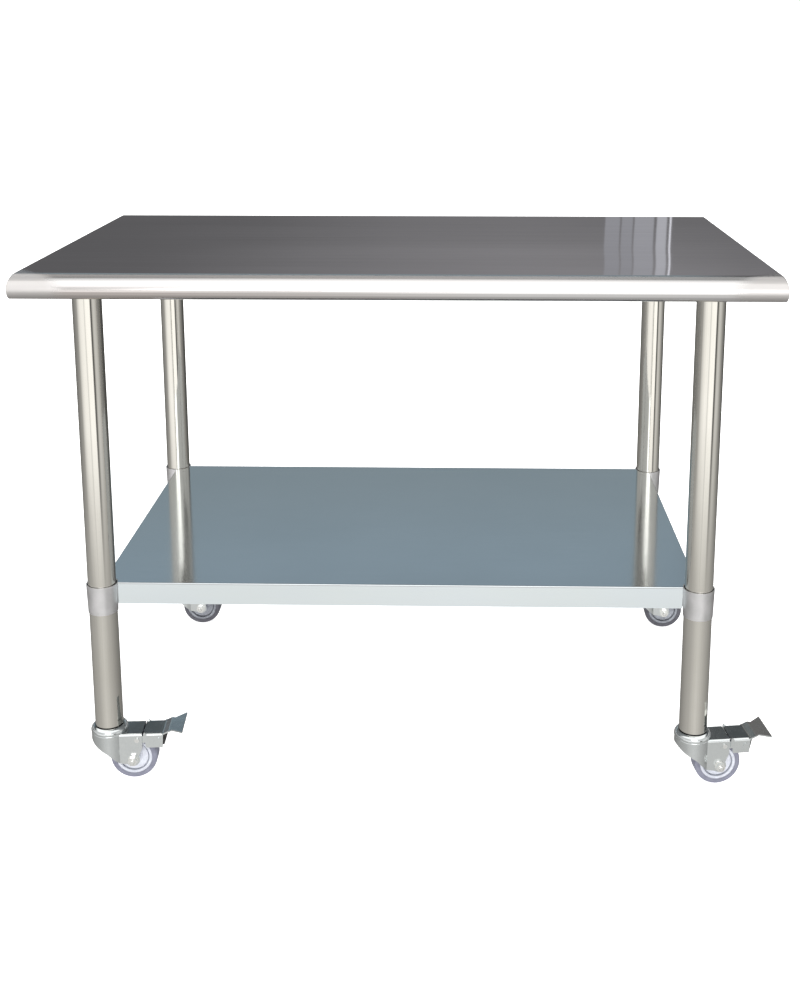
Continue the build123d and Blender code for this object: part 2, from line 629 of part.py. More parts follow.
    with BuildPart() as tyre:
        with BuildSketch(axle_section):
            with Locations((0, CORE_RADIUS + TREAD_THICKNESS / 2)):
                tread = Rectangle(TREAD_WIDTH, TREAD_THICKNESS)
            fillet(tread.vertices().group_by(Axis.Y)[-1], TREAD_SHOULDER)
            fillet(tread.vertices().group_by(Axis.Y)[0], TREAD_FOOT)
        revolve(axis=axle_axis)
    save(tyre, f"tyre_{corner}")

    if corner not in BRAKED:
        continue

    with BuildPart() as pedal_channel:
        with BuildSketch(Plane(floor.origin, x_dir=floor.y_dir, z_dir=floor.x_dir).offset(PEDAL_START_X)):
            with Locations((0, PEDAL_TOP / 2)):
                outer = Rectangle(2 * FORK_HALF_WIDTH, PEDAL_TOP)
            fillet(outer.vertices().group_by(Axis.Y)[-1], PEDAL_EDGE_RADIUS)
            with Locations((0, PEDAL_UNDERSIDE / 2)):
                Rectangle(2 * FLANGE_INNER, PEDAL_UNDERSIDE, mode=Mode.SUBTRACT)
        extrude(amount=PEDAL_BEND_X - PEDAL_START_X)
        with BuildSketch(side):
            with BuildLine():
                Polyline(
                    (PEDAL_START_X, PEDAL_TOP),
                    (PEDAL_START_X, PEDAL_UNDERSIDE),
                    (FLANGE_FOOT_START_X, FLANGE_FOOT),
                    (FLANGE_FOOT_END_X, FLANGE_FOOT),
                    (PEDAL_BEND_X, PEDAL_UNDERSIDE),
                    (PEDAL_BEND_X, PEDAL_TOP),
                    close=True,
                )
            make_face()
        extrude(amount=FORK_HALF_WIDTH, both=True, mode=Mode.INTERSECT)

    with BuildPart() as pedal:
        with BuildSketch(side):
            with BuildLine():
                FilletPolyline(
                    (PEDAL_BEND_X - PEDAL_SHEET, PEDAL_MIDDLE),
                    (PEDAL_BEND_X, PEDAL_MIDDLE),
                    (PEDAL_KNEE_X, PEDAL_MIDDLE + PEDAL_KNEE_RISE),
                    (PEDAL_TIP_X, PEDAL_MIDDLE + PEDAL_TIP_RISE),
                    radius=PEDAL_BEND_RADIUS,
                )
            trace(line_width=PEDAL_SHEET)
        extrude(amount=PEDAL_TIP_HALF_WIDTH, both=True)
        with BuildSketch(floor.offset(PEDAL_UNDERSIDE)):
            with BuildLine():
                Polyline(
                    (PEDAL_START_X, 0),
                    (PEDAL_START_X, FORK_HALF_WIDTH),
                    (PEDAL_KNEE_X, FORK_HALF_WIDTH),
                    (PEDAL_NECK_X, PEDAL_NECK_HALF_WIDTH),
                    (PEDAL_TIP_X, PEDAL_TIP_HALF_WIDTH),
                    (2 * PEDAL_TIP_X, PEDAL_TIP_HALF_WIDTH),
                    (2 * PEDAL_TIP_X, 0),
                )
                mirror(about=Plane.XZ)
            make_face()
        extrude(amount=PEDAL_UNDERSIDE, mode=Mode.INTERSECT)
        add(pedal_channel.part)
        for plane, thickness in both_sides(side, FLANGE_INNER, FORK_HALF_WIDTH):
            with BuildSketch(plane):
                with BuildLine():
                    Polyline(
                        (PEDAL_START_X, PEDAL_UNDERSIDE - PEDAL_SHEET),
                        (PEDAL_START_X, PEDAL_TOP),
                        (PEDAL_START_X + TAB_LENGTH / 3, PEDAL_TOP + TAB_RISE),
                        (PEDAL_START_X + TAB_LENGTH, PEDAL_TOP - PEDAL_SHEET / 2),
                        (PEDAL_START_X + TAB_LENGTH, PEDAL_UNDERSIDE - PEDAL_SHEET),
                        close=True,
                    )
                make_face()
            extrude(amount=thickness)
        for plane, thickness in both_sides(side, EAR_INNER, FORK_HALF_WIDTH):
            with BuildSketch(plane):
                with Locations((PEDAL_START_X + JOG_LENGTH / 2, (JOG_FOOT + PEDAL_UNDERSIDE) / 2)):
                    Rectangle(JOG_LENGTH, PEDAL_UNDERSIDE - JOG_FOOT)
            extrude(amount=thickness)
        for plane, thickness in both_sides(side, EAR_INNER, EAR_OUTER):
            with BuildSketch(plane):
                with Locations((PEDAL_PIVOT_X + EAR_LENGTH / 2, PEDAL_PIVOT_Z)):
                    SlotCenterToCenter(EAR_LENGTH, 2 * EAR_RADIUS)
            extrude(amount=thickness)
        for plane, thickness in both_sides(side, FLANGE_INNER, FORK_HALF_WIDTH + DIMPLE_HEIGHT):
            with BuildSketch(plane):
                with Locations((DIMPLE_X, PEDAL_PIVOT_Z)):
                    Circle(DIMPLE_RADIUS)
            extrude(amount=thickness)
        with BuildSketch(side):
            with Locations((PEDAL_PIVOT_X, PEDAL_PIVOT_Z)):
                Circle(PEDAL_PIN_RADIUS + RUNNING_FIT)
        extrude(amount=FORK_HALF_WIDTH, both=True, mode=Mode.SUBTRACT)
    save(pedal, f"brake_pedal_{corner}")

    with BuildPart() as block:
        with BuildSketch(side):
            with BuildLine():
                Polyline(
                    (face_top.X, PEDAL_UNDERSIDE),
                    (face_top.X, face_top.Y),
                    (face_foot.X, face_foot.Y),
                    (BLOCK_FOOT_X, BLOCK_FOOT_Z),
                    (BLOCK_END_X, BLOCK_END_Z),
                    (BLOCK_TOP_X, PEDAL_UNDERSIDE),
                    close=True,
                )
            make_face()
        extrude(amount=BLOCK_HALF_WIDTH, both=True)
    save(block, f"brake_block_{corner}")

    with BuildPart() as pins:
        inner_head = EAR_INNER - BODY_GAP
        outer_head = FORK_HALF_WIDTH + BODY_GAP
        inner_end = inner_head - PIN_HEAD_HEIGHT
        outer_end = outer_head + PIN_HEAD_HEIGHT
        for plane, thickness in both_sides(side, inner_head, outer_head):
            with BuildSketch(plane):
                with Locations((PEDAL_PIVOT_X, PEDAL_PIVOT_Z)):
                    Circle(PEDAL_PIN_RADIUS)
            extrude(amount=thickness)
        for start, end in ((inner_end, inner_head), (outer_head, outer_end)):
            for plane, thickness in both_sides(side, start, end):
                with BuildSketch(plane):
                    with Locations((PEDAL_PIVOT_X, PEDAL_PIVOT_Z)):
                        Circle(PIN_HEAD_RADIUS)
                extrude(amount=thickness)
    save(pins, f"pedal_pins_{corner}")
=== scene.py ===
import json
import math

import bpy
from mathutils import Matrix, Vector


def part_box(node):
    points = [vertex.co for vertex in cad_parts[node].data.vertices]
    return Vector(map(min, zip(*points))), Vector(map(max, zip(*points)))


# Looks, studio light and camera of the stainless work table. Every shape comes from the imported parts.

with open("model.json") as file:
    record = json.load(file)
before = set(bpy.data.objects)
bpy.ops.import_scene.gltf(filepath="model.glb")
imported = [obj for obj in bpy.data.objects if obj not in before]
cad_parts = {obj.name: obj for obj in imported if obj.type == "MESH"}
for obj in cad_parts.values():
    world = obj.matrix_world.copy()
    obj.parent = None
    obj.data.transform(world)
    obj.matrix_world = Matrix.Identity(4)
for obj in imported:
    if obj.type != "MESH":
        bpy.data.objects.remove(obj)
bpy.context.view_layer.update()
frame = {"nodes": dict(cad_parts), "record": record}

NODES = frame["nodes"]

# the Mix node's colour sockets, which share their names with its other kinds
MIX_FIRST, MIX_SECOND, MIX_RESULT = 6, 7, 2


# ---------------------------------------------------------------- node-tree helpers
class Nodes:
    """Adds nodes to one tree and links them by socket."""

    def __init__(self, tree):
        self.tree = tree

    def add(self, kind, **settings):
        node = self.tree.nodes.new(kind)
        for name, value in settings.items():
            setattr(node, name, value)
        return node

    def link(self, source, target):
        self.tree.links.new(source, target)

    def feed(self, socket, value):
        """value is a number, a colour or another socket."""
        if isinstance(value, (int, float)):
            socket.default_value = value
        elif isinstance(value, (tuple, list)):
            socket.default_value = (*value, 1.0)
        else:
            self.link(value, socket)

    def span(self, value, low, high, to_low, to_high, smooth=False):
        """value mapped from low..high to to_low..to_high, clamped."""
        node = self.add("ShaderNodeMapRange")
        if smooth:
            node.interpolation_type = "SMOOTHSTEP"
        for name, number in (("From Min", low), ("From Max", high), ("To Min", to_low), ("To Max", to_high)):
            node.inputs[name].default_value = number
        self.link(value, node.inputs["Value"])
        return node.outputs["Result"]

    def math(self, operation, first, second=0.0):
        node = self.add("ShaderNodeMath", operation=operation)
        self.feed(node.inputs[0], first)
        self.feed(node.inputs[1], second)
        return node.outputs["Value"]

    def mix(self, factor, first, second):
        """Colour mix; first and second are colours or sockets."""
        node = self.add("ShaderNodeMix", data_type="RGBA")
        self.feed(node.inputs["Factor"], factor)
        self.feed(node.inputs[MIX_FIRST], first)
        self.feed(node.inputs[MIX_SECOND], second)
        return node.outputs[MIX_RESULT]

    def ramp(self, value, stops):
        """stops are (position, colour) from 0 to 1."""
        node = self.add("ShaderNodeValToRGB")
        elements = node.color_ramp.elements
        while len(elements) < len(stops):
            elements.new(1.0)
        for element, (position, color) in zip(elements, stops):
            element.position = position
            element.color = (*color, 1.0)
        self.link(value, node.inputs["Fac"])
        return node.outputs["Color"]


class Shader(Nodes):
    """One material: a Principled surface fed from object coordinates."""

    def __init__(self, name):
        self.material = bpy.data.materials.new(name)
        self.material.use_nodes = True
        super().__init__(self.material.node_tree)
        self.surface = self.tree.nodes["Principled BSDF"]
        self.place = self.add("ShaderNodeTexCoord").outputs["Object"]

    def set(self, **values):
        for name, value in values.items():
            self.surface.inputs[name.replace("_", " ")].default_value = value

    def stretched(self, scale):
        """Object coordinates, in metres, multiplied by scale."""
        mapping = self.add("ShaderNodeMapping")
        mapping.inputs["Scale"].default_value = scale
        self.link(self.place, mapping.inputs["Vector"])
        return mapping.outputs["Vector"]

    def noise(self, scale, detail=4.0, roughness=0.55, distortion=0.0):
        """Noise of the given cycles per metre along X, Y and Z."""
        node = self.add("ShaderNodeTexNoise")
        node.inputs["Scale"].default_value = 1.0
        node.inputs["Detail"].default_value = detail
        node.inputs["Roughness"].default_value = roughness
        node.inputs["Distortion"].default_value = distortion
        self.link(self.stretched(scale), node.inputs["Vector"])
        return node.outputs["Fac"]

    def axis(self, name):
        """One of the object coordinates, X, Y or Z, in metres."""
        node = self.add("ShaderNodeSeparateXYZ")
        self.link(self.place, node.inputs["Vector"])
        return node.outputs[name]

    def bump(self, *layers):
        """Stacks (height, distance in metres, strength) layers into the normal."""
        normal = None
        for height, distance, strength in layers:
            node = self.add("ShaderNodeBump")
            node.inputs["Distance"].default_value = distance
            node.inputs["Strength"].default_value = strength
            self.link(height, node.inputs["Height"])
            if normal is not None:
                self.link(normal, node.inputs["Normal"])
            normal = node.outputs["Normal"]
        self.link(normal, self.surface.inputs["Normal"])


def worn_metal(name, base, worn, rough, rough_spread, grain, grain_depth, blotch, tint, dents=0.0):
    """A metal with fine grain, slow patches of haze, small scuffs and shallow dents.

    grain and blotch are in cycles per metre, the grain along each axis; tint is how much of worn shows;
    grain_depth and dents are heights in metres.
    """
    metal = Shader(name)
    metal.set(Metallic=1.0)
    patches = metal.noise((blotch, blotch, blotch), detail=5.0)
    lines = metal.noise(grain, detail=3.0, roughness=0.6)
    scuffs = metal.noise((160.0, 160.0, 160.0), detail=6.0, roughness=0.7, distortion=0.6)
    haze = metal.math("ADD", metal.math("MULTIPLY", patches, 0.6), metal.math("MULTIPLY", lines, 0.4))
    metal.link(metal.mix(metal.span(haze, 0.35, 0.68, 0.0, tint), base, worn),
               metal.surface.inputs["Base Color"])
    fine = metal.math("ADD", metal.span(haze, 0.3, 0.7, rough - rough_spread, rough + rough_spread),
                      metal.span(scuffs, 0.62, 0.8, 0.0, rough_spread))
    metal.link(fine, metal.surface.inputs["Roughness"])
    metal.bump((lines, grain_depth, 1.0), (patches, dents, 0.5))
    return metal.material


# ---------------------------------------------------------------- materials
# the worktop's colours: on the deck, on the rolled edge with its painted shade and the painted reflection
# where the roll starts, and at its dressed corners
BRUSHED_DARK, BRUSHED_LIGHT, HAZED = (0.52, 0.51, 0.51), (0.62, 0.61, 0.61), (0.66, 0.65, 0.66)
ROLLED, ROLLED_PAINTED_SHADE = (0.74, 0.73, 0.73), (0.58, 0.52, 0.49)
ONSET_PAINTED_REFLECTION_LEFT, ONSET_PAINTED_REFLECTION_RIGHT = (0.70, 0.625, 0.59), (0.66, 0.645, 0.64)
WELDED, WEDGED = (0.56, 0.535, 0.52), (0.64, 0.62, 0.61)
# where its finish and its painted light change, in metres: first as depths below the deck
ROLL_DEPTHS = (0.0060, 0.0010)
ONSET_DEPTHS = (0.00001, 0.0006)
ONSET_END_DEPTHS = (0.0010, 0.0045)
PAINTED_SHADE_DEPTHS = (0.010, 0.024)
# and then as distances in from its ends or its front edge
END_RIM = (0.0015, 0.0030)
ONSET_REACH = (0.046, 0.050)
WELD_REACH = (0.030, 0.062)
WEDGE_REACH = (0.060, 0.100)
RAGGED = 0.004


def stainless_top():
    """Lengthwise brushed stainless: duller where the front roll starts, with a painted reflection there and
    painted shade on the roll's lower half, dressed at its welded corners.
    """
    metal = Shader("stainless_top_brushed")
    metal.set(Metallic=1.0)
    low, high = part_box("worktop")
    x_place, y_place, z_place = metal.axis("X"), metal.axis("Y"), metal.axis("Z")
    lines = metal.noise((6.0, 900.0, 900.0), detail=3.0, roughness=0.6)
    wide_lines = metal.noise((2.0, 140.0, 140.0), detail=3.0)
    patches = metal.noise((3.0, 5.0, 5.0), detail=5.0)
    waves = metal.noise((1.2, 4.0, 4.0), detail=0.0)
    scuffs = metal.noise((90.0, 240.0, 160.0), detail=6.0, roughness=0.7, distortion=0.8)
    grain = metal.math("ADD", metal.math("MULTIPLY", lines, 0.5), metal.math("MULTIPLY", wide_lines, 0.5))

    def by_depth(depths, first_level, last_level, smooth=False):
        """A level that changes from the first of two depths to the second."""
        return metal.span(z_place, high.z - depths[0], high.z - depths[1], first_level, last_level, smooth)

    # masks: everything below the deck, and painted shade on its lower half towards the left
    below_deck = by_depth(ROLL_DEPTHS, 1.0, 0.0, smooth=True)
    to_left = metal.span(x_place, low.x * 0.6, high.x * 0.3, 1.0, 0.0)
    painted_shade_mask = metal.math("MULTIPLY", by_depth(PAINTED_SHADE_DEPTHS, 0.0, 0.75), to_left)
    # the start of the roll, on the front edge alone: duller there, with a warm painted reflection in its
    # colour
    from_end = metal.math("SUBTRACT", high.x, metal.math("ABSOLUTE", x_place))
    forward = metal.math("SUBTRACT", y_place, low.y)
    front_edge = metal.math("MULTIPLY", metal.span(from_end, *END_RIM, 0.0, 1.0),
                            metal.span(forward, *ONSET_REACH, 1.0, 0.0))
    first_turn = metal.math("MULTIPLY", by_depth(ONSET_DEPTHS, 0.0, 1.0),
                            by_depth(ONSET_END_DEPTHS, 1.0, 0.0, smooth=True))
    onset = metal.math("MULTIPLY", front_edge, first_turn)
    # the dressed weld at either end, with a ragged border, and its wedge onto the deck at each front corner
    ragged = metal.math("ADD", from_end, metal.span(scuffs, 0.3, 0.7, -RAGGED, RAGGED))
    weld = metal.math("MULTIPLY", metal.span(ragged, *WELD_REACH, 1.0, 0.0, smooth=True), below_deck)
    wedge = metal.span(metal.math("ADD", ragged, forward), *WEDGE_REACH, 1.0, 0.0, smooth=True)

    color = metal.mix(metal.span(grain, 0.35, 0.65, 0.0, 1.0), BRUSHED_DARK, BRUSHED_LIGHT)
    color = metal.mix(metal.span(patches, 0.4, 0.7, 0.0, 0.35), color, HAZED)
    color = metal.mix(below_deck, color, ROLLED)
    # painted shade on the roll's lower half, towards the left
    color = metal.mix(painted_shade_mask, color, ROLLED_PAINTED_SHADE)
    to_right = metal.span(x_place, low.x, high.x * 0.6, 0.0, 1.0)
    # a warm painted reflection where the roll starts, warmer towards the left
    color = metal.mix(onset, color, metal.mix(to_right, ONSET_PAINTED_REFLECTION_LEFT, ONSET_PAINTED_REFLECTION_RIGHT))
    color = metal.mix(weld, color, WELDED)
    metal.link(metal.mix(wedge, color, WEDGED), metal.surface.inputs["Base Color"])

    rough = metal.math("ADD", metal.span(grain, 0.3, 0.7, 0.025, 0.045),
                       metal.span(scuffs, 0.66, 0.8, 0.0, 0.03))
    for mask, added in ((below_deck, 0.08), (onset, 0.32), (metal.math("MAXIMUM", weld, wedge), 0.24)):
        rough = metal.math("ADD", rough, metal.math("MULTIPLY", mask, added))
    metal.link(rough, metal.surface.inputs["Roughness"])
    metal.bump((grain, 0.000004, 0.5), (waves, 0.0015, 1.0))
    return metal.material


def leg_tube():
    """Polished tube with fine lengthwise polishing lines and a warm tone."""
    return worn_metal("leg_tube_polished", base=(0.73, 0.71, 0.66), worn=(0.64, 0.62, 0.56), rough=0.07,
                      rough_spread=0.03, grain=(700.0, 700.0, 5.0), grain_depth=0.000006, blotch=7.0,
                      tint=0.6, dents=0.0002)


def shelf_steel():
    """Smooth shelf steel with a blue cast, painted paler on the folded aprons below the top face: painted
    light.
    """
    metal = Shader("shelf_steel_smooth")
    metal.set(Metallic=1.0)
    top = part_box("undershelf")[1].z
    patches = metal.noise((4.0, 4.0, 4.0), detail=5.0)
    lines = metal.noise((8.0, 500.0, 500.0), detail=3.0, roughness=0.6)
    haze = metal.math("ADD", metal.math("MULTIPLY", patches, 0.6), metal.math("MULTIPLY", lines, 0.4))
    face = metal.mix(metal.span(haze, 0.35, 0.68, 0.0, 0.7), (0.66, 0.69, 0.71), (0.60, 0.64, 0.66))
    # the aprons below the top face are painted paler and bluer than the top: painted light
    folded = metal.mix(metal.span(haze, 0.35, 0.68, 0.0, 0.7), (0.92, 0.99, 1.0), (0.87, 0.94, 1.0))
    below = metal.span(metal.axis("Z"), top - 0.0040, top - 0.0012, 1.0, 0.0, smooth=True)
    metal.link(metal.mix(below, face, folded), metal.surface.inputs["Base Color"])
    metal.link(metal.span(haze, 0.3, 0.7, 0.09, 0.12), metal.surface.inputs["Roughness"])
    metal.bump((lines, 0.000008, 1.0), (patches, 0.0004, 0.5))
    return metal.material


def galvanized():
    """Zinc with large soft spangles."""
    metal = Shader("galvanized_spangle")
    metal.set(Metallic=1.0)
    cells = metal.add("ShaderNodeTexVoronoi")
    cells.inputs["Scale"].default_value = 1.0
    metal.link(metal.stretched((90.0, 90.0, 90.0)), cells.inputs["Vector"])
    shade = metal.add("ShaderNodeSeparateColor")
    metal.link(cells.outputs["Color"], shade.inputs["Color"])
    spangle = shade.outputs["Red"]
    metal.link(metal.mix(spangle, (0.52, 0.53, 0.54), (0.68, 0.69, 0.70)), metal.surface.inputs["Base Color"])
    metal.link(metal.span(spangle, 0.0, 1.0, 0.32, 0.46), metal.surface.inputs["Roughness"])
    metal.bump((metal.noise((300.0, 300.0, 300.0)), 0.00005, 0.5), (spangle, 0.00005, 0.3))
    return metal.material


def cast_aluminium():
    """Satin cast metal with fine sand texture and turned lines."""
    metal = Shader("cast_collar_satin")
    metal.set(Metallic=1.0)
    sand = metal.noise((1300.0, 1300.0, 1300.0), detail=4.0, roughness=0.7)
    turned = metal.noise((60.0, 60.0, 1400.0), detail=2.0)
    patches = metal.noise((30.0, 30.0, 30.0), detail=5.0)
    metal.link(metal.mix(metal.span(patches, 0.35, 0.65, 0.0, 1.0), (0.66, 0.66, 0.66), (0.78, 0.77, 0.78)),
               metal.surface.inputs["Base Color"])
    metal.link(metal.span(patches, 0.3, 0.7, 0.34, 0.46), metal.surface.inputs["Roughness"])
    metal.bump((sand, 0.00008, 0.6), (turned, 0.00004, 0.5))
    return metal.material


def zinc_plate():
    """Pressed steel with bright zinc, slightly uneven, cloudy in places."""
    return worn_metal("zinc_plated_pressing", base=(0.72, 0.75, 0.75), worn=(0.64, 0.67, 0.68), rough=0.12,
                      rough_spread=0.04, grain=(240.0, 240.0, 240.0), grain_depth=0.00002, blotch=35.0,
                      tint=0.7, dents=0.0003)


def fastener_steel():
    """Bright zinc on bolts, nuts, pins and balls."""
    return worn_metal("fastener_zinc", base=(0.86, 0.87, 0.86), worn=(0.74, 0.74, 0.71), rough=0.22,
                      rough_spread=0.06, grain=(900.0, 900.0, 900.0), grain_depth=0.00002, blotch=120.0,
                      tint=0.8)


def wheel_plastic(name="wheel_core_moulded", pale=(0.50, 0.52, 0.58), paler=(0.62, 0.64, 0.70)):
    """Moulded core, faint flow marks."""
    plastic = Shader(name)
    flow = plastic.noise((60.0, 60.0, 60.0), detail=3.0, distortion=1.0)
    fine = plastic.noise((1500.0, 1500.0, 1500.0), detail=2.0)
    dirt = plastic.noise((140.0, 140.0, 140.0), detail=6.0, roughness=0.7)
    clean = plastic.mix(plastic.span(flow, 0.35, 0.65, 0.0, 1.0), pale, paler)
    plastic.link(plastic.mix(plastic.span(dirt, 0.62, 0.8, 0.0, 0.5), clean, (0.45, 0.44, 0.44)),
                 plastic.surface.inputs["Base Color"])
    plastic.link(plastic.span(dirt, 0.4, 0.7, 0.32, 0.48), plastic.surface.inputs["Roughness"])
    plastic.bump((fine, 0.00004, 0.5))
    return plastic.material


def tread_rubber(name="tread_grey", dark=(0.16, 0.165, 0.215), light=(0.21, 0.215, 0.275),
                 worn=(0.32, 0.32, 0.35)):
    """Grey non-marking tread: matt, dusty where it rolls."""
    rubber = Shader(name)
    mottle = rubber.noise((80.0, 80.0, 80.0), detail=5.0)
    fine = rubber.noise((1600.0, 1600.0, 1600.0), detail=3.0, roughness=0.7)
    dust = rubber.noise((220.0, 220.0, 220.0), detail=6.0, roughness=0.75)
    body = rubber.mix(rubber.span(mottle, 0.3, 0.7, 0.0, 1.0), dark, light)
    rubber.link(rubber.mix(rubber.span(dust, 0.55, 0.75, 0.0, 0.45), body, worn),
                rubber.surface.inputs["Base Color"])
    rubber.link(rubber.span(mottle, 0.3, 0.7, 0.42, 0.6), rubber.surface.inputs["Roughness"])
    rubber.bump((fine, 0.00006, 0.7), (dust, 0.00008, 0.4))
    return rubber.material


def dark_moulding(name, color, rough):
    """Matt dark moulding with fine pitting and pale dust."""
    plastic = Shader(name)
    fine = plastic.noise((1200.0, 1200.0, 1200.0), detail=3.0, roughness=0.7)
    dust = plastic.noise((90.0, 90.0, 90.0), detail=6.0, roughness=0.7)
    pale = tuple(0.15 + channel for channel in color)
    plastic.link(plastic.mix(plastic.span(dust, 0.5, 0.8, 0.0, 0.4), color, pale),
                 plastic.surface.inputs["Base Color"])
    plastic.link(plastic.span(dust, 0.3, 0.7, rough - 0.08, rough + 0.08),
                 plastic.surface.inputs["Roughness"])
    plastic.bump((fine, 0.00006, 0.6))
    return plastic.material


MATERIALS = {
    "stainless_top": stainless_top(),
    "leg_tube": leg_tube(),
    "shelf_steel": shelf_steel(),
    "galvanized_steel": galvanized(),
    "cast_aluminium": cast_aluminium(),
    "zinc_plate": zinc_plate(),
    "fastener_steel": fastener_steel(),
    "wheel_plastic": wheel_plastic(),
    "tread_rubber": tread_rubber(),
    "insert_plastic": dark_moulding("insert_moulding", color=(0.02, 0.02, 0.022), rough=0.45),
    "brake_rubber": dark_moulding("brake_rubber_black", color=(0.012, 0.012, 0.012), rough=0.6),
}

# the rear wheels get darker copies of their materials: painted shade, for the deep shade under the shelf
REAR_PAINTED_SHADE = {
    "wheel_plastic": wheel_plastic("wheel_core_painted_shade", pale=(0.20, 0.21, 0.24), paler=(0.34, 0.36, 0.40)),
    "tread_rubber": tread_rubber("tread_painted_shade", dark=(0.06, 0.06, 0.075), light=(0.10, 0.10, 0.12),
                                 worn=(0.20, 0.20, 0.22)),
}

for subpart in frame["record"]["subparts"]:
    node = NODES[subpart["node"]]
    slot = subpart["material_slot"]
    # rear wheel cores and treads take the darker copies: painted shade
    material = REAR_PAINTED_SHADE[slot] if "_rear_" in subpart["node"] and slot in REAR_PAINTED_SHADE else MATERIALS[slot]
    node.data.materials.clear()
    node.data.materials.append(material)


# ---------------------------------------------------------------- studio
WHITE_LEVEL = 1.45
HORIZON_LEVEL = 1.1

# bands of the studio light, as sines of elevation, where one colour gives way to the next
DARK_BACK_BAND = (0.141, 0.174)
WALL_FOOT, WALL_MIDDLE, WALL_TOP = (0.21, 0.27), (0.33, 0.40), (0.40, 0.48)
WHITE_BEHIND, WHITE_AHEAD = (0.58, 0.76), (0.45, 0.70)
STEEP_BELOW, STRAIGHT_BELOW = (-0.26, -0.42), (-0.75, -1.0)
JUST_BELOW, JUST_ABOVE = (-0.05, -0.04), (0.03, 0.05)
# the wall behind: its ends, and the lighter sides beyond it, in degrees of azimuth from straight behind
WALL_LEFT_END, WALL_RIGHT_END = (-14, -11), (10, 13)
FAR_LEFT, FAR_RIGHT = (-60, -35), (35, 60)
WALL_LOW, WALL_HIGH, ABOVE_WALL = (0.285, 0.345, 0.375), (0.325, 0.415, 0.480), (0.17, 0.16, 0.155)


def grey(level, warmth=0.0):
    """A neutral light level; warmth above 0 takes blue out, below 0 takes red out."""
    return (level * (1 + min(warmth, 0.0)), level * (1 - abs(warmth) * 0.3), level * (1 - max(warmth, 0.0)))


def violet(level):
    """A light level with a slight violet cast."""
    return (level, level * 0.985, level * 1.03)


def turn(degrees):
    """An azimuth from -180 to 180 as a ramp position."""
    return (degrees + 180.0) / 360.0


def pale_floor():
    """A white floor to the horizon, lit from within as well, so that hardly any shadow shows."""
    half = 80.0
    mesh = bpy.data.meshes.new("studio_floor")
    corners = [(-half, -half, 0), (half, -half, 0), (half, half, 0), (-half, half, 0)]
    mesh.from_pydata(corners, [], [(0, 1, 2, 3)])
    floor = bpy.data.objects.new("studio_floor", mesh)
    bpy.context.scene.collection.objects.link(floor)
    paint = Shader("studio_floor_white")
    paint.set(Base_Color=(0.92, 0.92, 0.92, 1.0), Roughness=1.0, Specular_IOR_Level=0.0)
    paint.set(Emission_Color=(1.0, 1.0, 1.0, 1.0), Emission_Strength=0.85)
    mesh.materials.append(paint.material)
    # polished parts reflect the soft studio light from below, not the bare floor
    floor.visible_glossy = False


def across(air, around, band, first_level, last_level):
    """A level that changes smoothly over a band of azimuths in degrees."""
    return air.span(around, turn(band[0]), turn(band[1]), first_level, last_level, smooth=True)


def ring(air, around, tint, stops):
    """Light levels by azimuth in degrees; tint turns a level into a colour."""
    return air.ramp(around, [(turn(azimuth), tint(level)) for azimuth, level in stops])


def light_below(air, around_front, up):
    """What the upright parts reflect: bright in front, with a dark line to the right, and dim behind."""
    shallow = ring(air, around_front, lambda level: grey(level, 0.02), (
        (-180, 0.08), (-150, 0.20), (-110, 0.27), (-93, 0.36), (-74, 0.46), (-62, 0.85), (-48, 1.15),
        (-30, 1.30), (-14, 1.30), (-10, 1.00), (-6, 1.00), (-2, 1.40), (33, 1.45), (38, 0.16), (46, 0.13),
        (52, 0.60), (61, 0.82), (72, 0.76), (82, 0.62), (92, 0.45), (102, 0.31), (112, 0.25), (124, 0.17),
        (136, 0.10), (180, 0.08),
    ))
    steep = ring(air, around_front, lambda level: grey(level, 0.03), (
        (-180, 0.20), (-130, 0.33), (-90, 0.46), (-50, 0.56), (-20, 0.72), (0, 0.78), (20, 0.72),
        (45, 0.60), (70, 0.50), (100, 0.38), (140, 0.25), (180, 0.20),
    ))
    below = air.mix(air.span(up, *STEEP_BELOW, 0.0, 1.0, smooth=True), shallow, steep)
    return air.mix(air.span(up, *STRAIGHT_BELOW, 0.0, 1.0, smooth=True), below, grey(0.45, 0.03))


# bright slots low behind, seen in the worktop: azimuths from and to, in degrees, and level
SLOTS = ((6.43, 7.08, 0.35), (7.15, 7.64, 0.35), (7.71, 8.56, 0.40), (8.68, 9.12, 0.52), (9.24, 9.31, 1.00))
SLOT_EDGE = 0.05
SLOT_TINT = (0.98, 0.99, 1.07)


def light_low_behind(air, around_back, up):
    """What the worktop reflects: dark, lighter about the middle, with a row of bright slots to the right."""
    far_back = ring(air, around_back, violet, (
        (-17, 0.130), (-9, 0.144), (-2.6, 0.204), (3, 0.215), (10, 0.185), (16, 0.170),
    ))
    near_back = ring(air, around_back, violet, (
        (-17, 0.140), (-13.5, 0.150), (-7, 0.220), (2, 0.280), (6, 0.288), (10.5, 0.270), (13, 0.230),
    ))
    dark_back = air.mix(air.span(up, *DARK_BACK_BAND, 0.0, 1.0), far_back, near_back)
    for low_turn, high_turn, level in SLOTS:
        rise = air.span(around_back, turn(low_turn), turn(low_turn + SLOT_EDGE), 0.0, 1.0)
        fall = air.span(around_back, turn(high_turn), turn(high_turn + SLOT_EDGE), 1.0, 0.0)
        slot_color = tuple(level * share for share in SLOT_TINT)
        dark_back = air.mix(air.math("MULTIPLY", rise, fall), dark_back, slot_color)
    return dark_back


